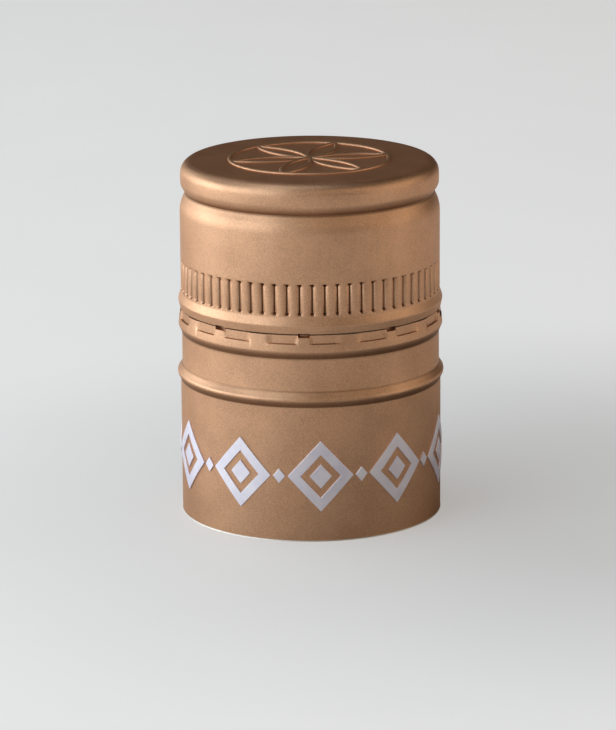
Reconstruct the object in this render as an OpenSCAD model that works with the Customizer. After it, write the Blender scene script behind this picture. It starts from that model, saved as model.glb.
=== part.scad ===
// Roll-on tamper-evident bottle cap with a long skirt.
// The cap stands on its rim with the mouth down, and its axis is the Z axis.
// Every height is measured from the rim, and every radius is the outside of the sheet.

/* [Cap] */
// Overall height of the cap
cap_h = 38; // [34:0.5:44]
// Outside diameter of the skirt
skirt_d = 27.72; // [24:0.04:34]
// Thickness of the drawn sheet
wall = 0.23; // [0.18:0.01:0.3]

/* [Lower bead] */
// Height of the middle of the lower bead
low_bead_z = 15.28; // [10:0.02:16]
// How far the crest of the lower bead stands out from the skirt
low_bead_out = 0.32; // [0.25:0.01:0.4]
// Height of the lower bead from edge to edge
low_bead_h = 1.6; // [1.5:0.1:2.1]
// Radius of the crest of the lower bead
low_crest = 0.5; // [0.3:0.05:0.6]

/* [Waist and upper bead] */
// How far the waist between the two beads lies inside the skirt
waist_in = 0.17; // [0.1:0.01:0.3]
// Height of the slit above the lower edge of the upper bead
high_bead_drop = 2.65; // [2.4:0.05:3.2]
// How far the crest of the upper bead stands out from the waist
high_bead_out = 0.32; // [0.28:0.01:0.4]
// Height of the lower face of the upper bead, up to its crest
high_bead_h = 0.8; // [0.7:0.05:0.9]
// Radius of the crest of the upper bead
high_crest = 0.4; // [0.3:0.05:0.5]

/* [Tamper slit] */
// Height of the slit
slit_z = 22.24; // [20:0.02:23]
// Width of the slit
slit_h = 0.12; // [0.06:0.01:0.2]
// How far the sheet at the slit stands out from the waist
slit_out = 0.17; // [0.1:0.01:0.25]
// Number of bridges that the slit leaves
bridges = 9; // [6:1:10]
// Width of a bridge
bridge_w = 0.9; // [0.6:0.1:1.2]
// Direction of the first bridge, from straight ahead towards the right
bridge_angle = -2.8; // [-20:0.1:20]

/* [Bridge dimples] */
// Width of the dimple pressed in over a bridge
dimple_w = 1.1; // [1:0.1:1.5]
// Height of the dimple
dimple_h = 0.5; // [0.3:0.05:0.6]
// Depth of the dimple below the sheet at the slit
dimple_in = 0.32; // [0.15:0.01:0.4]

/* [Tabs] */
// Distance from the middle of a bridge to the tab beside it, along the sheet
tab_start = 0.65; // [0.6:0.05:1]
// Length of a tab along the sheet
tab_l = 2.9; // [2:0.1:3]
// Height of a tab below the slit
tab_h = 0.95; // [0.6:0.05:1.2]
// Depth of a tab below the sheet at the slit
tab_in = 0.11; // [0.08:0.01:0.2]

/* [Upper body] */
// How far the plain band lies inside the skirt
band_in = 0.1; // [0.05:0.01:0.2]
// Height of the crease above the slit
crease_rise = 0.9; // [0.7:0.05:1]
// How far the crease stands out from the plain band
crease_out = 0.27; // [0.2:0.01:0.35]
// Height of the slope above the crease
crease_h = 0.85; // [0.7:0.05:0.9]
// Radius of the crease
crease_bend = 0.45; // [0.3:0.05:0.5]

/* [Knurl] */
// Distance from one knurled rib to the next, along the band
rib_pitch = 1.33; // [1.2:0.01:1.6]
// Plain strip between the slope over the crease and the knurl
knurl_gap = 0.2; // [0.15:0.05:0.8]
// Length of the knurl
knurl_h = 3.35; // [2.5:0.05:4]
// Depth of a groove between two ribs
knurl_depth = 0.34; // [0.25:0.01:0.4]
// Width of the floor of a groove
knurl_floor = 0.12; // [0.1:0.01:0.2]
// Depth at which the flank of a rib turns down into the groove
knurl_knee = 0.1; // [0.06:0.01:0.12]
// Width of a groove at that depth
knurl_knee_w = 0.34; // [0.28:0.02:0.4]
// Width from the crown of one rib to the crown of the next
knurl_w = 1; // [0.8:0.02:1.04]
// Length of the slope at each end of a groove
knurl_slope = 0.35; // [0.3:0.05:0.6]
// Direction of one groove, from straight ahead towards the right
knurl_angle = 0.8; // [-3:0.1:3]

/* [Top] */
// Depth of the middle of the neck groove below the top
groove_drop = 3.38; // [3.2:0.02:3.6]
// Depth of the neck groove below the plain band
groove_in = 0.61; // [0.5:0.01:0.7]
// Height of the shoulder that slopes in to the groove
shoulder_h = 1.28; // [1.2:0.02:1.6]
// Radius of the bend from the plain band to the shoulder
shoulder_round = 3.1; // [2.4:0.1:3.2]
// How far the edge of the top disc lies inside the plain band
disc_in = 0.1; // [0.05:0.01:0.2]
// Height of the slope under the top disc
disc_slope = 0.86; // [0.7:0.02:1]
// Radius of the lower edge of the top disc
disc_low_round = 1; // [0.6:0.05:1.1]
// Radius of the edge of the top disc
disc_round = 1.35; // [1:0.05:1.5]

/* [Liner] */
// Thickness of the liner
liner_t = 2; // [1.5:0.1:2.1]
// Gap between the edge of the liner and the sheet
liner_gap = 0.08; // [0.05:0.01:0.2]

/* [Hidden] */
$fn = 120;
champagne = [0.76, 0.61, 0.47];
foam = [0.93, 0.92, 0.88];
// Radius of a soft bend in the sheet, on its outside
soft_bend = 0.4;
// Radius of a tight bend in the sheet, on its outside
tight_bend = 0.25;
// Turn between two points of a bend, in degrees
bend_step = 15;
// Reach of a cutter beyond what it cuts
past = 1;

// Radii, from the rim up
skirt_r = skirt_d / 2;
low_crest_r = skirt_r + low_bead_out;
waist_r = skirt_r - waist_in;
high_crest_r = waist_r + high_bead_out;
slit_r = waist_r + slit_out;
tab_r = slit_r - tab_in;
dimple_r = slit_r - dimple_in;
band_r = skirt_r - band_in;
crease_r = band_r + crease_out;
groove_r = band_r - groove_in;
disc_r = band_r - disc_in;

// Heights, from the rim up
low_bead_low = low_bead_z - low_bead_h / 2;
low_bead_top = low_bead_z + low_bead_h / 2;
high_bead_z = slit_z - high_bead_drop;
slit_low = slit_z - slit_h / 2;
crease_z = slit_z + crease_rise;
knurl_z = crease_z + crease_h + knurl_gap;
groove_z = cap_h - groove_drop;
shoulder_z = groove_z - shoulder_h;
inner_top = cap_h - wall;

bridge_step = 360 / bridges;
ribs = round(2 * PI * band_r / rib_pitch);
// The lower bead rises from the skirt on one side and from the waist on the other
low_foot_r = (skirt_r + waist_r) / 2;

// Reach of the corner of a bead whose crest is rounded to r, stands p proud and has flanks h high
function peak(p, h, r) =
    let (m = r - p, k = 1 - r * r / (h * h))
    abs(k) < 0.001 ? (r * r - m * m) / (2 * m) : (sqrt(m * m - k * (m * m - r * r)) - m) / k;

// The outside of the sheet from the rim to the middle of the top: radius, height, bend
sheet_line = [
    [skirt_r, 0, 0],
    [skirt_r, low_bead_low, tight_bend],
    [low_foot_r + peak(low_crest_r - low_foot_r, low_bead_h / 2, low_crest), low_bead_z, low_crest],
    [waist_r, low_bead_top, tight_bend],
    [waist_r, high_bead_z, tight_bend],
    [waist_r + peak(high_bead_out, high_bead_h, high_crest), high_bead_z + high_bead_h, high_crest],
    [slit_r, slit_z, 0],
    [band_r + peak(crease_out, crease_h, crease_bend), crease_z, crease_bend],
    [band_r, crease_z + crease_h, soft_bend],
    [band_r, shoulder_z, shoulder_round],
    [groove_r, groove_z, soft_bend],
    [disc_r, groove_z + disc_slope, disc_low_round],
    [disc_r, cap_h, disc_round],
    [0, cap_h, 0],
];

// Direction from one point to another
function heading(a, b) = [b[0] - a[0], b[1] - a[1]] / norm([b[0] - a[0], b[1] - a[1]]);
// The direction a quarter turn to the left, which is into the cap
function inward(d) = [-d[1], d[0]];
// Directions in and out of corner i, equal at the two ends of the line
function way_in(line, i) = let (k = max(i, 1)) heading(line[k - 1], line[k]);
function way_out(line, i) = let (k = min(i, len(line) - 2)) heading(line[k], line[k + 1]);
// Turn at corner i, in degrees, positive where the sheet bulges outward
function turn(line, i) =
    let (a = way_in(line, i), b = way_out(line, i))
    atan2(a[0] * b[1] - a[1] * b[0], a * b);
// Corner i with the sheet's surface moved in by t
function moved_corner(line, i, t) =
    let (a = inward(way_in(line, i)), b = inward(way_out(line, i)))
    let (shift = (a + b) * t / (1 + a * b))
    [line[i][0] + shift[0], line[i][1] + shift[1],
     line[i][2] == 0 ? 0 : line[i][2] - sign(turn(line, i)) * t];
function moved_line(line, t) = [for (i = [0 : len(line) - 1]) moved_corner(line, i, t)];
// Points of the bend at corner i
function bend(line, i) =
    let (p = [line[i][0], line[i][1]], r = line[i][2], phi = turn(line, i))
    let (a = way_in(line, i), start = p - a * r * tan(abs(phi) / 2))
    let (centre = start + inward(a) * sign(phi) * r, arm = start - centre)
    r <= 0 ? [p] :
    let (n = ceil(abs(phi) / bend_step))
    [for (k = [0 : n]) let (w = phi * k / n)
        centre + [arm[0] * cos(w) - arm[1] * sin(w), arm[0] * sin(w) + arm[1] * cos(w)]];
function bent(line) = [for (i = [0 : len(line) - 1]) each bend(line, i)];
// Angle that a length along the sheet takes at radius r
function along(length, r) = length * 180 / (PI * r);

// Solid out to the sheet's surface, moved in by t
module body_form(t) {
    rotate_extrude() polygon(concat([[0, 0]], bent(moved_line(sheet_line, t))));
}

// Part of a ring, centred on the front and turned to the right by angle
module arc_ring(r, z, h, angle, span) {
    rotate([0, 0, angle - 90 - span / 2])
        rotate_extrude(angle = span)
            translate([r, z]) square([skirt_r + past - r, h]);
}

// Across a groove from one crown to the next: place across, radius, bend
groove_line = [
    [knurl_w / 2, band_r, 0],
    [knurl_knee_w / 2, band_r - knurl_knee, 0],
    [knurl_floor / 2, band_r - knurl_depth, 0],
    [-knurl_floor / 2, band_r - knurl_depth, 0],
    [-knurl_knee_w / 2, band_r - knurl_knee, 0],
    [-knurl_w / 2, band_r, 0],
];

// Grooves of the knurl, grown by t on every side
module knurl_grooves(t) {
    line = moved_line(groove_line, t);
    half_w = line[0][0];
    floor_r = line[2][1];
    edge_r = band_r + past;
    low = knurl_z - t;
    high = knurl_z + knurl_h + t;
    across = [[half_w, edge_r], each bent(line), [-half_w, edge_r]];
    for (i = [0 : ribs - 1])
        rotate([0, 0, knurl_angle + 180 + i * 360 / ribs])
            intersection() {
                translate([0, 0, low]) linear_extrude(high - low) polygon(across);
                rotate([90, 0, 90])
                    linear_extrude(2 * half_w + past, center = true)
                        polygon([
                            [floor_r, low + knurl_slope],
                            [edge_r, low - past],
                            [edge_r, high + past],
                            [floor_r, high - knurl_slope],
                        ]);
            }
}

// Tabs on both sides of each bridge, grown by t on every side
module tabs(t) {
    middle = along(tab_start + tab_l / 2, tab_r);
    for (i = [0 : bridges - 1], side = [-1, 1])
        arc_ring(tab_r - t, slit_low - tab_h - t, tab_h + t,
            bridge_angle + i * bridge_step + side * middle, along(tab_l + 2 * t, tab_r));
}

// Dimples over the bridges, grown by t on every side
module dimples(t) {
    for (i = [0 : bridges - 1])
        arc_ring(dimple_r - t, slit_z - dimple_h / 2 - t, dimple_h + 2 * t,
            bridge_angle + i * bridge_step, along(dimple_w + 2 * t, dimple_r));
}

// Everything inside the sheet's surface, moved in by t, with what is pressed into it
module pressed_form(t) {
    difference() {
        body_form(t);
        knurl_grooves(t);
        tabs(t);
        dimples(t);
    }
}

// The slit, open everywhere apart from the bridges
module slit() {
    for (i = [0 : bridges - 1])
        arc_ring(dimple_r - 2 * wall, slit_low, slit_h,
            bridge_angle + (i + 0.5) * bridge_step, bridge_step - along(bridge_w, slit_r));
}

// Drawn, beaded, knurled and slit sheet
module shell() {
    color(champagne)
    difference() {
        pressed_form(0);
        pressed_form(wall);
        slit();
    }
}

// Sealing disc, pressed up against the inside of the top
module liner() {
    r = disc_r - wall - liner_gap;
    line = [
        [0, inner_top - liner_t, 0],
        [r, inner_top - liner_t, tight_bend],
        [r, inner_top, disc_round - wall + liner_gap],
        [0, inner_top, 0],
    ];
    color(foam) rotate_extrude() polygon(bent(line));
}

shell();
liner();
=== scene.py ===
import math
import bpy
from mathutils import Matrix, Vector


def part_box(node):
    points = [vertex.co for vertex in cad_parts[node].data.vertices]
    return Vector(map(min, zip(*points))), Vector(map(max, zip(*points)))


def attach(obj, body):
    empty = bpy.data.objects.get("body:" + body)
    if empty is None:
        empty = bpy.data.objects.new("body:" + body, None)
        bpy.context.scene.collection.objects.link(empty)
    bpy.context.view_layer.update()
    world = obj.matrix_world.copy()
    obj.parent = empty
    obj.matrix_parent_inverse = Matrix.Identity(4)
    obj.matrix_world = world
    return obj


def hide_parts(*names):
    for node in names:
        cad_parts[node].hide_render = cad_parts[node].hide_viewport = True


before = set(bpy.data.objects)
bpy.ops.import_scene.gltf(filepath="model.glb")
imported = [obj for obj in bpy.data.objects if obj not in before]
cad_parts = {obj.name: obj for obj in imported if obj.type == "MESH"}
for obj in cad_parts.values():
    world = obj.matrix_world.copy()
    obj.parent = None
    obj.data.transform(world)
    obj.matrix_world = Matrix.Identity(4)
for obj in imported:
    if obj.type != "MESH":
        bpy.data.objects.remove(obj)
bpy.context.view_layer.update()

mm = 0.001                         # pieces are shaped in millimetres and brought to metres at the end
boxLow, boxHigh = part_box("shell")
capHeight = (boxHigh.z - boxLow.z) / mm
lowCrestR = boxHigh.x / mm         # the lower bead is the widest ring of the cap


# helpers for work by hand

def deselectAll():
    if bpy.context.object and bpy.context.object.mode != "OBJECT":
        bpy.ops.object.mode_set(mode="OBJECT")
    bpy.ops.object.select_all(action="DESELECT")


def makeActive(piece):
    deselectAll()
    piece.select_set(True)
    bpy.context.view_layer.objects.active = piece


def pick(piece, kind, wanted):
    # selects in edit mode the vertices, edges or faces for which wanted() says yes
    bpy.ops.object.mode_set(mode="OBJECT")
    for part in (piece.data.vertices, piece.data.edges, piece.data.polygons):
        part.foreach_set("select", [False] * len(part))
    chosen = {"VERT": piece.data.vertices, "EDGE": piece.data.edges, "FACE": piece.data.polygons}[kind]
    chosen.foreach_set("select", [bool(wanted(part)) for part in chosen])
    bpy.ops.object.mode_set(mode="EDIT")
    bpy.ops.mesh.select_mode(type=kind)


def editNew(piece, name):
    piece.name = name
    piece.data.name = name
    bpy.ops.object.mode_set(mode="EDIT")


def addModifier(piece, kind, **settings):
    makeActive(piece)
    modifier = piece.modifiers.new(kind.lower(), kind)
    for key, value in settings.items():
        setattr(modifier, key, value)
    bpy.ops.object.modifier_apply(modifier=modifier.name)


def toMetres(piece, smoothAngle):
    makeActive(piece)
    piece.scale = (mm, mm, mm)
    piece.location = piece.location * mm
    bpy.ops.object.transform_apply(location=True, rotation=True, scale=True)
    bpy.ops.object.shade_smooth_by_angle(angle=math.radians(smoothAngle))


def joined(parts):
    deselectAll()
    for part in parts:
        part.select_set(True)
    bpy.context.view_layer.objects.active = parts[0]
    bpy.ops.object.transform_apply(location=True, rotation=True, scale=True)
    bpy.ops.object.join()
    return parts[0]


def turnedCopies(piece, count):
    # the piece and its copies round the cap's axis, each with its own mesh
    copies = [piece]
    for i in range(1, count):
        makeActive(piece)
        bpy.ops.object.duplicate(linked=False)
        copies.append(bpy.context.object)
        copies[-1].rotation_euler.z = 2 * math.pi * i / count
    return copies


# shell: one drawn sheet

sheet = {
    "wall": 0.23,
    "skirtR": lowCrestR - 0.32, "bareRim": 0.12, "rimFlare": 0.03, "rimFade": 0.05,
    "lowBeadZ": 15.28, "lowBeadH": 1.6, "lowCrest": 0.5,
    "waistIn": 0.17, "highBeadDrop": 2.65, "highBeadOut": 0.32, "highBeadH": 0.8, "highCrest": 0.4,
    "slitZ": 22.24, "slitH": 0.15, "slitOut": 0.17,
    "bandIn": 0.1, "creaseRise": 0.9, "creaseOut": 0.27, "creaseH": 0.85, "creaseBend": 0.45,
    "grooveDrop": 3.38, "grooveIn": 0.64, "grooveBend": 0.15, "shoulderH": 1.28, "shoulderRound": 3.1,
    "discIn": 0.1, "discSlope": 0.84, "discLowRound": 1.0, "discRound": 1.35,
    "softBend": 0.4, "tightBend": 0.15, "bendStep": 11,
    "columns": 585,                # nine to a rib and sixty-five to a bridge
    "firstColumn": 0.8,            # degrees from straight ahead to the right, the middle of a groove
}
knurl = {
    "ribs": 65, "gap": 0.2, "length": 3.35, "endSlope": 0.2, "endPress": 0.16,
    "depths": [0.34, 0.12, 0.058, 0.018, 0.0],     # from the middle of a groove to the middle of a rib
    "endDepths": [0.52, 0.26, 0.07, 0.02, 0.0],    # the same where the tool ends
    "pinch": 0.42,                 # share of a column by which the edges of a groove close up
    "paintedShadeFrom": 0.16,              # depth past which the lacquer gets painted shade
}
bridge = {
    "count": 9, "firstColumn": -6, "halfColumns": 3,
    # the bottom of each dimple, past a depth given on the next line, gets painted shade
    "dimpleBelow": 0.32, "dimpleAbove": 0.14, "dimpleColumns": 3, "dimpleEdge": 0.06, "paintedShadeFrom": 0.24,
    "dimpleDepths": [0.5, 0.5, 0.34],              # at the foot and at the two lips of the slit
}
tab = {
    "height": 0.95, "depth": 0.11, "edge": 0.07, "startColumn": 5, "columns": 17, "fadeColumns": 5,
}


def peak(proud, flank, crest):
    # reach of a bead's corner whose crest is rounded and stands proud by that much
    m = crest - proud
    k = 1 - crest * crest / (flank * flank)
    return (math.sqrt(m * m - k * (m * m - crest * crest)) - m) / k


def sheetCorners():
    s = sheet
    skirtR = s["skirtR"]
    waistR = skirtR - s["waistIn"]
    bandR = skirtR - s["bandIn"]
    grooveR = bandR - s["grooveIn"]
    discR = bandR - s["discIn"]
    footR = (skirtR + waistR) / 2
    highZ = s["slitZ"] - s["highBeadDrop"]
    creaseZ = s["slitZ"] + s["creaseRise"]
    grooveZ = capHeight - s["grooveDrop"]
    return [
        (skirtR + s["rimFlare"], 0, 0),
        (skirtR, s["bareRim"], 0),
        (skirtR, s["lowBeadZ"] - s["lowBeadH"] / 2, s["tightBend"]),
        (footR + peak(lowCrestR - footR, s["lowBeadH"] / 2, s["lowCrest"]), s["lowBeadZ"], s["lowCrest"]),
        (waistR, s["lowBeadZ"] + s["lowBeadH"] / 2, s["tightBend"]),
        (waistR, highZ, s["tightBend"]),
        (waistR + peak(s["highBeadOut"], s["highBeadH"], s["highCrest"]), highZ + s["highBeadH"], s["highCrest"]),
        (waistR + s["slitOut"], s["slitZ"], 0),
        (bandR + peak(s["creaseOut"], s["creaseH"], s["creaseBend"]), creaseZ, s["creaseBend"]),
        (bandR, creaseZ + s["creaseH"], s["softBend"]),
        (bandR, grooveZ - s["shoulderH"], s["shoulderRound"]),
        (grooveR, grooveZ, s["grooveBend"]),
        (discR, grooveZ + s["discSlope"], s["discLowRound"]),
        (discR, capHeight, s["discRound"]),
        (0, capHeight, 0),
    ]


def bentLine(corners, step):
    # the corners with each bend drawn as an arc
    points = []
    for i, (r, z, bend) in enumerate(corners):
        if bend == 0:
            points.append(Vector((r, z)))
            continue
        here = Vector((r, z))
        inDir = (here - Vector(corners[i - 1][:2])).normalized()
        outDir = (Vector(corners[i + 1][:2]) - here).normalized()
        turn = math.atan2(inDir.x * outDir.y - inDir.y * outDir.x, inDir.dot(outDir))
        start = here - inDir * bend * math.tan(abs(turn) / 2)
        side = math.copysign(1, turn)
        centre = start + Vector((-inDir.y, inDir.x)) * side * bend
        arm = start - centre
        steps = max(2, math.ceil(math.degrees(abs(turn)) / step))
        for k in range(steps + 1):
            w = turn * k / steps
            points.append(centre + Vector((arm.x * math.cos(w) - arm.y * math.sin(w),
                                           arm.x * math.sin(w) + arm.y * math.cos(w))))
    return points


def withHeights(points, heights):
    # adds a point to the line at each of those heights, on the outside of the cap
    for height in heights:
        for i in range(len(points) - 1):
            a, b = points[i], points[i + 1]
            if min(abs(a.y - height), abs(b.y - height)) < 1e-4:
                break
            if a.y < height < b.y:
                points.insert(i + 1, a.lerp(b, (height - a.y) / (b.y - a.y)))
                break
    return points


def outsideR(points, height):
    # radius of the outline at a height where it has a point
    return min(points, key=lambda p: abs(p.y - height)).x


def columnOf(x, y):
    angle = math.degrees(math.atan2(x, -y)) - sheet["firstColumn"]
    return round(angle * sheet["columns"] / 360) % sheet["columns"]


def fromBridge(column):
    # signed columns from the middle of the nearest bridge
    step = sheet["columns"] // bridge["count"]
    return (column - bridge["firstColumn"] + step // 2) % step - step // 2


def fromGroove(column):
    # signed columns from the middle of the nearest groove
    step = sheet["columns"] // knurl["ribs"]
    return (column + step // 2) % step - step // 2


def spinRings(name, rings, columns, turn):
    # a circle extruded ring by ring up the outline
    start = rings[0]
    bpy.ops.mesh.primitive_circle_add(vertices=columns, radius=start.x, location=(0, 0, start.y),
                                      rotation=(0, 0, turn))
    piece = bpy.context.object
    bpy.ops.object.transform_apply(location=True, rotation=True, scale=True)
    editNew(piece, name)
    bpy.ops.mesh.select_all(action="SELECT")
    for low, high in zip(rings, rings[1:]):
        bpy.ops.mesh.extrude_region_move(TRANSFORM_OT_translate={"value": (0, 0, high.y - low.y)})
        factor = high.x / low.x
        bpy.ops.transform.resize(value=(factor, factor, 1), center_override=(0, 0, 0))
    return piece


def pressRings(piece, heights, wantedColumn, targetR=None, depth=0.0):
    # moves chosen columns of the rings at those heights in to a radius, or in by a depth
    for height in heights:
        radius = 0

        def wanted(v):
            nonlocal radius
            if abs(v.co.z - height) > 1e-3 or not wantedColumn(columnOf(v.co.x, v.co.y)):
                return False
            radius = math.hypot(v.co.x, v.co.y)
            return True

        pick(piece, "VERT", wanted)
        if radius:
            factor = (targetR or radius - depth) / radius
            bpy.ops.transform.resize(value=(factor, factor, 1), center_override=(0, 0, 0))


def turnRings(piece, heights, wantedColumn, angle):
    # slides chosen columns of the rings at those heights round the axis
    pick(piece, "VERT", lambda v: min(abs(v.co.z - height) for height in heights) < 1e-3
         and wantedColumn(columnOf(v.co.x, v.co.y)))
    bpy.ops.transform.rotate(value=angle, orient_axis="Z", center_override=(0, 0, 0))


def buildShell():
    s, k, b, t = sheet, knurl, bridge, tab
    slitLow, slitHigh = s["slitZ"] - s["slitH"] / 2, s["slitZ"] + s["slitH"] / 2
    knurlLow = s["slitZ"] + s["creaseRise"] + s["creaseH"] + k["gap"]
    knurlHigh = knurlLow + k["length"]
    tabLow = slitLow - t["height"]
    dimpleLow, dimpleHigh = s["slitZ"] - b["dimpleBelow"], s["slitZ"] + b["dimpleAbove"]
    knurlEnds = [knurlLow + k["endSlope"], knurlHigh - k["endSlope"]]
    knurlRows = [knurlEnds[0] + k["endPress"], knurlEnds[1] - k["endPress"]]
    tabRows = [tabLow + t["edge"], (tabLow + slitLow) / 2 + 0.05, slitLow]
    dimpleRows = [dimpleLow + b["dimpleEdge"], slitLow, slitHigh]
    heights = [s["bareRim"] + s["rimFade"], 7.0, tabLow, *tabRows, dimpleLow, *dimpleRows, dimpleHigh,
               knurlLow, *knurlEnds, *knurlRows, knurlHigh, knurlHigh + k["gap"], 30.2]
    outline = withHeights(bentLine(sheetCorners(), s["bendStep"]), heights)
    outline = [p for p in outline if abs(p.y - s["slitZ"]) > 1e-4]
    rings = outline[:-1]
    rings += [Vector((rings[-1].x * f, capHeight)) for f in (0.85, 0.55, 0.25, 0.06)]
    turn = math.pi + math.radians(s["firstColumn"])     # a circle's first vertex is at the back
    piece = spinRings("shellSheet", rings, s["columns"], turn)
    bpy.ops.mesh.merge(type="CENTER")
    print("sheet drawn:", len(rings), "rings")

    for away, depth in enumerate(k["depths"]):
        if depth:
            pressRings(piece, knurlRows, lambda c: abs(fromGroove(c)) == away, depth=depth)
            pressRings(piece, knurlEnds, lambda c: abs(fromGroove(c)) == away, depth=k["endDepths"][away])
    for side in (-1, 1):
        shift = side * k["pinch"] * 2 * math.pi / s["columns"]
        turnRings(piece, knurlRows, lambda c: fromGroove(c) == side, shift)
    print("knurl pressed")

    slitR = s["skirtR"] - s["waistIn"] + s["slitOut"]
    tabR = slitR - t["depth"]
    tabEnd = t["startColumn"] + t["columns"]
    tabAll = [tabLow + t["edge"], tabRows[1], dimpleLow, dimpleLow + b["dimpleEdge"], slitLow]
    for row in tabAll:
        first = t["startColumn"] + (row == tabAll[0])
        rowR = outsideR(outline, row)
        pressRings(piece, [row], lambda c: first <= abs(fromBridge(c)) <= tabEnd, targetR=tabR)
        for i in range(t["fadeColumns"]):
            share = (1 + math.cos(math.pi * (i + 1) / (t["fadeColumns"] + 1))) / 2
            fadeR = rowR + (tabR - rowR) * share
            pressRings(piece, [row], lambda c: abs(fromBridge(c)) == tabEnd + 1 + i, targetR=fadeR)
    for row, depth in zip(dimpleRows, b["dimpleDepths"]):
        pressRings(piece, [row], lambda c: abs(fromBridge(c)) <= b["dimpleColumns"], targetR=slitR - depth)
    print("tabs and dimples pressed")

    def inSlit(face):
        if not slitLow < face.center.z < slitHigh:
            return False
        away = abs(fromBridge(columnOf(face.center.x, face.center.y)))
        return away > b["halfColumns"]

    pick(piece, "FACE", inSlit)
    bpy.ops.mesh.delete(type="FACE")
    bpy.ops.mesh.select_all(action="SELECT")
    bpy.ops.mesh.normals_make_consistent(inside=False)
    bpy.ops.object.mode_set(mode="OBJECT")
    for material in (champagneLacquer, insideVarnish, bareEdge, paintedShadeLacquer):
        piece.data.materials.append(material)
    addModifier(piece, "SOLIDIFY", thickness=s["wall"], offset=-1, material_offset=1, material_offset_rim=2)

    def inPaintedShadeRecess(face):
        # faces that get painted shade: the bottoms of dimples and knurl grooves and the ledges under the tabs
        reach, z = math.hypot(face.center.x, face.center.y), face.center.z
        away = abs(fromBridge(columnOf(face.center.x, face.center.y)))
        dimple = dimpleLow < z < dimpleHigh and reach < slitR - b["paintedShadeFrom"]
        groove = knurlLow < z < knurlHigh and reach < s["skirtR"] - s["bandIn"] - k["paintedShadeFrom"]
        ledge = tabLow < z < tabLow + t["edge"] and t["startColumn"] < away <= tabEnd
        return face.material_index == 0 and (dimple or groove or ledge)

    # lacquer on the lips of the slit, bare metal along the rim, painted shade in the recesses
    for slot, wanted in ((0, lambda face: face.material_index == 2 and face.center.z > s["lowBeadZ"]),
                         (2, lambda face: face.center.z < s["bareRim"]), (3, inPaintedShadeRecess)):
        pick(piece, "FACE", wanted)
        piece.active_material_index = slot
        bpy.ops.object.material_slot_assign()
    toMetres(piece, 38)
    print("sheet given its wall:", len(piece.data.polygons), "faces")
    return piece


# materials: procedural, on object coordinates in metres

def newMaterial(name):
    material = bpy.data.materials.new(name)
    material.use_nodes = True
    nodes, links = material.node_tree.nodes, material.node_tree.links
    return material, nodes, links, nodes["Principled BSDF"]


def addNode(nodes, kind, **inputs):
    node = nodes.new("ShaderNode" + kind)
    for key, value in inputs.items():
        node.inputs[key.replace("_", " ")].default_value = value
    return node


def combine(nodes, links, operation, first, second):
    # a Math node on two outputs or numbers
    node = nodes.new("ShaderNodeMath")
    node.operation = operation
    for socket, value in zip(node.inputs, (first, second)):
        if isinstance(value, (int, float)):
            socket.default_value = value
        else:
            links.new(value, socket)
    return node.outputs[0]


def grainOf(nodes, links, coords, scale, detail=3.0):
    noise = addNode(nodes, "TexNoise", Scale=scale, Detail=detail)
    links.new(coords.outputs["Object"], noise.inputs["Vector"])
    return noise


def rampOf(nodes, links, source, stops):
    ramp = nodes.new("ShaderNodeValToRGB")
    while len(ramp.color_ramp.elements) < len(stops):
        ramp.color_ramp.elements.new(0.5)
    for element, (place, colour) in zip(ramp.color_ramp.elements, stops):
        element.position = place
        element.color = (*colour, 1)
    links.new(source, ramp.inputs["Fac"])
    return ramp


lacquer = {
    "light": (0.77, 0.43, 0.251), "dark": (0.58, 0.318, 0.183),
    "roughness": 0.45, "coat": 0.1, "coatRoughness": 0.35,
    "grainScale": 9000, "blotchScale": 260, "grainShare": 0.7, "grainHeight": 0.000016,
    "ringScale": 900, "ringHeight": 0.000008,      # faint marks of the spun sheet on the top
    "shadeTop": 40.0,              # height in mm at the end of the next list's ramp
    "paintedShade": [                    # painted shade: height and share of the colour left there, under the beads, in the bend above the lower bead and in the neck groove
        (14.42, 1.0), (14.5, 0.38), (14.9, 0.52), (15.3, 1.0), (16.0, 1.0), (16.08, 0.6), (16.16, 1.0),
        (19.5, 1.0), (19.6, 0.34), (20.0, 0.46), (20.4, 1.0),
        (34.45, 1.0), (34.56, 0.3), (34.72, 0.42), (35.2, 1.0),
    ],
    "paintedShadeTint": (1.0, 1.15, 1.3),                 # powers that keep the painted shade brown
    # painted shade on the flat top: darker and redder around its height, fading out below it and on the raised
    # rosette
    "topTint": (1.0, 0.9, 0.88), "topFrom": (37.7, 38.08), "topFull": (37.95, 38.02),
    "edgeTint": (0.95, 0.8, 0.7),
    "recessPaintedShade": (0.53, 0.61, 0.68),              # painted shade: share of the colour left in recesses
}


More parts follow.
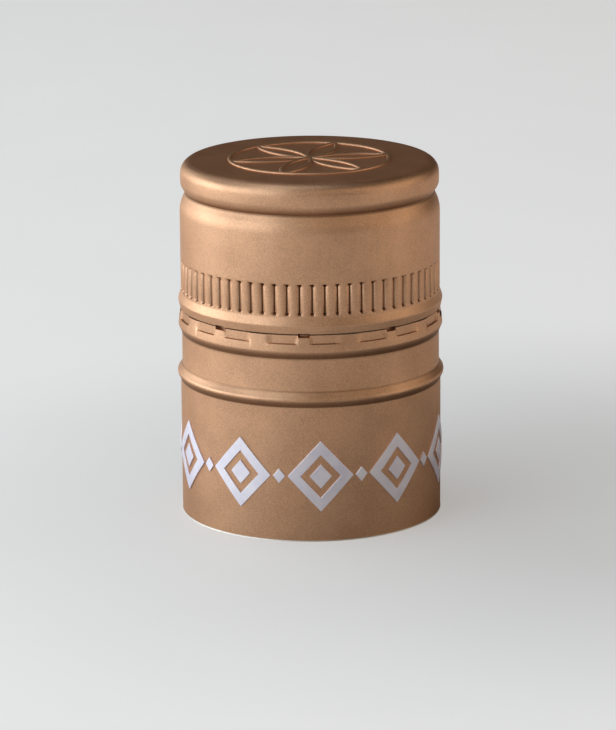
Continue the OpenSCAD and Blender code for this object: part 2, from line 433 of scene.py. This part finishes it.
def makeLacquer(name, paintedTone=(1, 1, 1)):
    material, nodes, links, shader = newMaterial(name)
    dark, light = (tuple(c * t for c, t in zip(lacquer[key], paintedTone)) for key in ("dark", "light"))
    coords = nodes.new("ShaderNodeTexCoord")
    grain = grainOf(nodes, links, coords, lacquer["grainScale"])
    blotch = grainOf(nodes, links, coords, lacquer["blotchScale"], 4)
    fine = combine(nodes, links, "MULTIPLY", grain.outputs["Fac"], lacquer["grainShare"])
    wide = combine(nodes, links, "MULTIPLY", blotch.outputs["Fac"], 1 - lacquer["grainShare"])
    mottle = combine(nodes, links, "ADD", fine, wide)
    colour = rampOf(nodes, links, mottle, [(0.4, dark), (0.6, light)])
    # painted shade by height: darker under the beads, in the bend above the lower bead, in the neck groove and on the
    # flat top
    height = nodes.new("ShaderNodeSeparateXYZ")
    links.new(coords.outputs["Object"], height.inputs["Vector"])
    share = combine(nodes, links, "DIVIDE", height.outputs["Z"], lacquer["shadeTop"] * mm)
    stops = [(z, tuple(f ** power for power in lacquer["paintedShadeTint"])) for z, f in lacquer["paintedShade"]]
    stops += [(z, (1, 1, 1)) for z in lacquer["topFrom"]] + [(z, lacquer["topTint"]) for z in lacquer["topFull"]]
    paintedShade = rampOf(nodes, links, share, [(z / lacquer["shadeTop"], paintedTone) for z, paintedTone in sorted(stops)])
    shaded = nodes.new("ShaderNodeVectorMath")
    shaded.operation = "MULTIPLY"
    links.new(colour.outputs["Color"], shaded.inputs[0])
    links.new(paintedShade.outputs["Color"], shaded.inputs[1])
    links.new(shaded.outputs["Vector"], shader.inputs["Base Color"])
    rough = nodes.new("ShaderNodeMapRange")
    rough.inputs["To Min"].default_value = lacquer["roughness"] - 0.04
    rough.inputs["To Max"].default_value = lacquer["roughness"] + 0.04
    links.new(mottle, rough.inputs["Value"])
    links.new(rough.outputs["Result"], shader.inputs["Roughness"])
    bump = addNode(nodes, "Bump", Strength=0.35, Distance=lacquer["grainHeight"])
    links.new(grain.outputs["Fac"], bump.inputs["Height"])
    rings = addNode(nodes, "TexWave", Scale=lacquer["ringScale"], Distortion=2.5, Detail=2.0, Detail_Scale=0.4)
    rings.wave_type = "RINGS"
    rings.rings_direction = "Z"
    links.new(coords.outputs["Object"], rings.inputs["Vector"])
    ringBump = addNode(nodes, "Bump", Strength=0.5, Distance=lacquer["ringHeight"])
    links.new(rings.outputs["Fac"], ringBump.inputs["Height"])
    links.new(bump.outputs["Normal"], ringBump.inputs["Normal"])
    links.new(ringBump.outputs["Normal"], shader.inputs["Normal"])
    shader.inputs["Metallic"].default_value = 1.0
    shader.inputs["Specular Tint"].default_value = (*lacquer["edgeTint"], 1)
    shader.inputs["Coat Weight"].default_value = lacquer["coat"]
    shader.inputs["Coat Roughness"].default_value = lacquer["coatRoughness"]
    return material


def makeMetal(name, light, dark, roughness, scale):
    material, nodes, links, shader = newMaterial(name)
    coords = nodes.new("ShaderNodeTexCoord")
    grain = grainOf(nodes, links, coords, scale)
    colour = rampOf(nodes, links, grain.outputs["Fac"], [(0.35, dark), (0.65, light)])
    links.new(colour.outputs["Color"], shader.inputs["Base Color"])
    shader.inputs["Metallic"].default_value = 1.0
    shader.inputs["Roughness"].default_value = roughness
    bump = addNode(nodes, "Bump", Strength=0.25, Distance=0.00001)
    links.new(grain.outputs["Fac"], bump.inputs["Height"])
    links.new(bump.outputs["Normal"], shader.inputs["Normal"])
    return material


def makeFoam():
    material, nodes, links, shader = newMaterial("linerFoam")
    coords = nodes.new("ShaderNodeTexCoord")
    cells = addNode(nodes, "TexVoronoi", Scale=4200.0)
    links.new(coords.outputs["Object"], cells.inputs["Vector"])
    colour = rampOf(nodes, links, cells.outputs["Distance"], [(0.0, (0.9, 0.89, 0.85)), (0.8, (0.8, 0.79, 0.75))])
    links.new(colour.outputs["Color"], shader.inputs["Base Color"])
    shader.inputs["Roughness"].default_value = 0.75
    bump = addNode(nodes, "Bump", Strength=0.3, Distance=0.00004)
    links.new(cells.outputs["Distance"], bump.inputs["Height"])
    links.new(bump.outputs["Normal"], shader.inputs["Normal"])
    return material


champagneLacquer = makeLacquer("champagneLacquer")
paintedShadeLacquer = makeLacquer("paintedShadeLacquer", lacquer["recessPaintedShade"])     # painted shade for dimples, knurl grooves and ledges of tabs
insideVarnish = makeMetal("insideVarnish", (0.72, 0.66, 0.52), (0.62, 0.56, 0.43), 0.38, 7000)
bareEdge = makeMetal("bareEdge", (0.88, 0.8, 0.71), (0.8, 0.72, 0.63), 0.5, 12000)
silverFoil = makeMetal("silverFoil", (0.97, 0.9, 0.94), (0.87, 0.8, 0.88), 0.52, 420)
linerFoam = makeFoam()


# skirt ornament: a border of diamonds in silver

border = {
    "count": 10, "middleZ": 7.1, "firstTurn": 4.0,
    "frame": (6.9, 7.6), "stroke": 1.0,            # width, height and stroke of the big diamond
    "heart": (2.3, 2.6), "link": (1.3, 1.6),       # the solid diamonds in it and between two of them
    "cuts": 20, "thick": 0.17, "sunk": 0.02, "edge": 0.05,
}


def flatDiamond(name, width, height, stroke=None):
    # a diamond that faces the front, whole or as a frame
    bpy.ops.mesh.primitive_circle_add(vertices=4, radius=1, fill_type="NGON")
    piece = bpy.context.object
    piece.scale = (width / 2, height / 2, 1)
    bpy.ops.object.transform_apply(location=False, rotation=False, scale=True)
    piece.rotation_euler.x = math.pi / 2
    bpy.ops.object.transform_apply(location=False, rotation=True, scale=False)
    editNew(piece, name)
    if stroke:
        bpy.ops.mesh.select_all(action="SELECT")
        bpy.ops.mesh.inset(thickness=stroke, use_even_offset=True)
        bpy.ops.mesh.delete(type="FACE")
    bpy.ops.object.mode_set(mode="OBJECT")
    return piece


def buildBorder():
    g = border
    r = sheet["skirtR"] - g["sunk"]
    parts = [flatDiamond("diamondBorder", *g["frame"], g["stroke"]), flatDiamond("diamondHeart", *g["heart"]),
             flatDiamond("diamondLink", *g["link"])]
    parts[2].location.x = math.pi * r / g["count"]
    piece = joined(parts)
    start, width = min(v.co.x for v in piece.data.vertices), piece.dimensions.x
    bpy.ops.object.mode_set(mode="EDIT")
    for i in range(1, g["cuts"]):
        bpy.ops.mesh.select_all(action="SELECT")
        bpy.ops.mesh.bisect(plane_co=(start + width * i / g["cuts"], 0, 0), plane_no=(1, 0, 0))
    bpy.ops.object.mode_set(mode="OBJECT")
    addModifier(piece, "SOLIDIFY", thickness=g["thick"], offset=1)
    addModifier(piece, "BEVEL", width=g["edge"], segments=1, limit_method="ANGLE", angle_limit=math.radians(50))
    addModifier(piece, "SIMPLE_DEFORM", deform_method="BEND", deform_axis="Z", angle=width / r)
    piece.location = (0, -r, g["middleZ"])
    bpy.ops.object.transform_apply(location=True, rotation=True, scale=True)
    piece.rotation_euler.z = math.radians(g["firstTurn"])
    bpy.ops.object.transform_apply(location=True, rotation=True, scale=True)
    piece = joined(turnedCopies(piece, g["count"]))
    piece.data.materials.append(silverFoil)
    toMetres(piece, 30)
    print("border raised:", len(piece.data.polygons), "faces")
    return piece


# top ornament: a raised six-petal rosette in a ring, drawn with a compass

rosette = {"petals": 6, "radius": 8.4, "line": 0.5, "rise": 0.2, "steps": 36, "sides": 12, "turn": 11.0}


def buildRosette():
    g = rosette
    bpy.ops.mesh.primitive_circle_add(vertices=g["sides"], radius=g["line"] / 2, fill_type="NGON")
    petal = bpy.context.object
    petal.scale.y = g["rise"] / (g["line"] / 2)
    bpy.ops.object.transform_apply(location=False, rotation=False, scale=True)
    petal.rotation_euler = (math.pi / 2, 0, math.radians(120))
    petal.location = (g["radius"] / 2, g["radius"] * math.sin(math.radians(60)), capHeight)
    bpy.ops.object.transform_apply(location=True, rotation=True, scale=True)
    editNew(petal, "petalArc")
    bpy.ops.mesh.select_all(action="SELECT")
    bpy.ops.mesh.spin(steps=g["steps"], angle=math.radians(-120), center=(g["radius"], 0, capHeight), axis=(0, 0, 1))
    bpy.ops.mesh.select_all(action="SELECT")
    bpy.ops.mesh.normals_make_consistent(inside=False)
    bpy.ops.object.mode_set(mode="OBJECT")
    bpy.ops.mesh.primitive_torus_add(major_segments=6 * g["steps"], minor_segments=g["sides"],
                                     major_radius=g["radius"], minor_radius=g["line"] / 2)
    ring = bpy.context.object
    ring.name = "topRosette"
    ring.data.name = "topRosette"
    ring.scale.z = g["rise"] / (g["line"] / 2)
    ring.location.z = capHeight
    piece = joined([ring, *turnedCopies(petal, g["petals"])])
    piece.rotation_euler.z = math.radians(g["turn"])
    bpy.ops.object.transform_apply(location=True, rotation=True, scale=True)
    piece.data.materials.append(champagneLacquer)
    toMetres(piece, 60)
    print("rosette raised:", len(piece.data.polygons), "faces")
    return piece


# floor, light and camera

stage = {
    "floor": (0.45, 0.445, 0.44), "floorSize": 6.0,
    # the glow fades towards a point beside the cap: a painted shadow of the cap on the floor, full in reflections and
    # by a share to the camera
    "glow": (0.80, 0.79, 0.78), "floorGlow": 0.5, "viewGlow": 0.68, "shade": 0.09, "shadeMiddle": (0.028, 0, 0), "contact": 0.35,
    "worldGrey": 0.5, "worldStrength": 0.04,
}


def buildFloor():
    bpy.ops.mesh.primitive_plane_add(size=stage["floorSize"], location=(0, 0, 0))
    floor = bpy.context.object
    floor.name = "studioFloor"
    material, nodes, links, shader = newMaterial("studioFloor")
    coords = nodes.new("ShaderNodeTexCoord")
    fleck = grainOf(nodes, links, coords, 40)
    for colour, socket in ((stage["floor"], "Base Color"), (stage["glow"], "Emission Color")):
        faint = tuple(c * 0.985 for c in colour)
        ramp = rampOf(nodes, links, fleck.outputs["Fac"], [(0.3, faint), (0.7, colour)])
        links.new(ramp.outputs["Color"], shader.inputs[socket])
    shader.inputs["Roughness"].default_value = 0.6
    shader.inputs["Specular IOR Level"].default_value = 0.2
    # pale to the camera and in reflections, with no extra light on the cap or inside it; near the cap the glow fades
    # as a painted shadow
    away, apart = nodes.new("ShaderNodeVectorMath"), nodes.new("ShaderNodeVectorMath")
    away.operation, apart.operation = "LENGTH", "DISTANCE"
    apart.inputs[1].default_value = stage["shadeMiddle"]
    for node in (away, apart):
        links.new(coords.outputs["Object"], node.inputs[0])
    fade = addNode(nodes, "MapRange", From_Min=sheet["skirtR"] * mm, From_Max=stage["shade"])
    fade.interpolation_type = "SMOOTHSTEP"
    links.new(apart.outputs["Value"], fade.inputs["Value"])
    path = nodes.new("ShaderNodeLightPath")
    mirrored = combine(nodes, links, "MAXIMUM", path.outputs["Is Glossy Ray"], path.outputs["Is Transmission Ray"])
    inMirror = combine(nodes, links, "MULTIPLY", mirrored, fade.outputs["Result"])
    dimmed = combine(nodes, links, "MULTIPLY", fade.outputs["Result"], stage["contact"])
    inView = combine(nodes, links, "ADD", dimmed, 1 - stage["contact"])
    outside = combine(nodes, links, "GREATER_THAN", away.outputs["Value"], sheet["skirtR"] * mm)
    seen = combine(nodes, links, "MULTIPLY", combine(nodes, links, "MULTIPLY", path.outputs["Is Camera Ray"], inView),
                   outside)
    viewGlow = combine(nodes, links, "MULTIPLY", seen, stage["viewGlow"])
    mirrorGlow = combine(nodes, links, "MULTIPLY", inMirror, stage["floorGlow"])
    links.new(combine(nodes, links, "ADD", viewGlow, mirrorGlow), shader.inputs["Emission Strength"])
    floor.data.materials.append(material)


lamps = {
    "distance": 0.5, "size": 0.32, "cool": (0.92, 1.07, 1.18), "warm": (1.1, 1.0, 0.83),
    "places": [                    # name, azimuth from straight ahead to the right, elevation, power
        ("keyRear", -130, 8, 0.42), ("keySide", -100, 8, 0.99), ("keyMiddle", -70, 8, 0.4),
        ("keyFront", -40, 8, 0.29), ("keyHigh", -50, 28, 0.38),
        ("keyTop", -128, 40, 0.14), ("topFront", -55, 55, 0.23), ("topLeft", -60, 78, 0.21),
        ("topRear", 170, 40, 0.04),
        ("fillFront", 0, 28, 0.15), ("fillHigh", 45, 34, 0.17), ("fillBack", 98, 26, 0.22),
        ("fillSide", 75, 8, 0.18), ("fillRear", 110, 8, 0.02),
    ],
}


def areaLamp(name, azimuth, elevation, distance, width, height, power, tone=(1, 1, 1)):
    # azimuth from straight ahead to the right, aimed at the middle of the cap
    a, e = math.radians(azimuth), math.radians(elevation)
    aim = Vector((0, 0, capHeight * mm / 2))
    place = aim + distance * Vector((math.sin(a) * math.cos(e), -math.cos(a) * math.cos(e), math.sin(e)))
    bpy.ops.object.light_add(type="AREA", location=place)
    lamp = bpy.context.object
    lamp.name = name
    lamp.rotation_euler = (aim - place).to_track_quat("-Z", "Y").to_euler()
    lamp.data.shape = "RECTANGLE"
    lamp.data.size, lamp.data.size_y = width, height
    lamp.data.energy = power
    lamp.data.color = tone
    lamp.visible_camera = False
    return lamp


def buildLights():
    world = bpy.data.worlds.new("studioWorld")
    bpy.context.scene.world = world
    world.use_nodes = True
    background = world.node_tree.nodes["Background"]
    grey = stage["worldGrey"]
    background.inputs["Color"].default_value = (grey, grey, grey, 1)
    background.inputs["Strength"].default_value = stage["worldStrength"]
    for name, azimuth, elevation, power in lamps["places"]:
        tone = lamps["cool"] if azimuth < 0 else lamps["warm"]
        areaLamp(name, azimuth, elevation, lamps["distance"], lamps["size"], lamps["size"], power, tone)


view = {
    "elevation": 14.192, "distance": 0.4096, "targetZ": 0.01772, "lens": 189.2, "roll": -0.371,
    "aimRight": 2.63, "aimUp": 20.32, "frameLong": 730,      # pixels in the photo's 616 x 730 frame
}


def buildCamera():
    e = math.radians(view["elevation"])
    target = Vector((0, 0, view["targetZ"]))
    place = target + view["distance"] * Vector((0, -math.cos(e), math.sin(e)))
    bpy.ops.object.camera_add(location=place)
    camera = bpy.context.object
    camera.name = "photoCamera"
    turn = (target - place).to_track_quat("-Z", "Y").to_matrix().to_4x4()
    camera.matrix_world = turn.__class__.Translation(place) @ turn @ turn.__class__.Rotation(
        math.radians(view["roll"]), 4, "Z")
    camera.data.lens = view["lens"]
    camera.data.sensor_width = 36
    camera.data.shift_x = -view["aimRight"] / view["frameLong"]
    camera.data.shift_y = -view["aimUp"] / view["frameLong"]
    camera.data.clip_start, camera.data.clip_end = 0.01, 20
    bpy.context.scene.camera = camera


shell = buildShell()
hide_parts("shell")
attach(shell, "root")

for ornament in (buildBorder(), buildRosette()):
    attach(ornament, "root")

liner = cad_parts["liner"]
liner.data.materials.clear()
liner.data.materials.append(linerFoam)

buildFloor()
buildLights()
buildCamera()
bpy.context.scene.view_settings.view_transform = "Standard"

deselectAll()
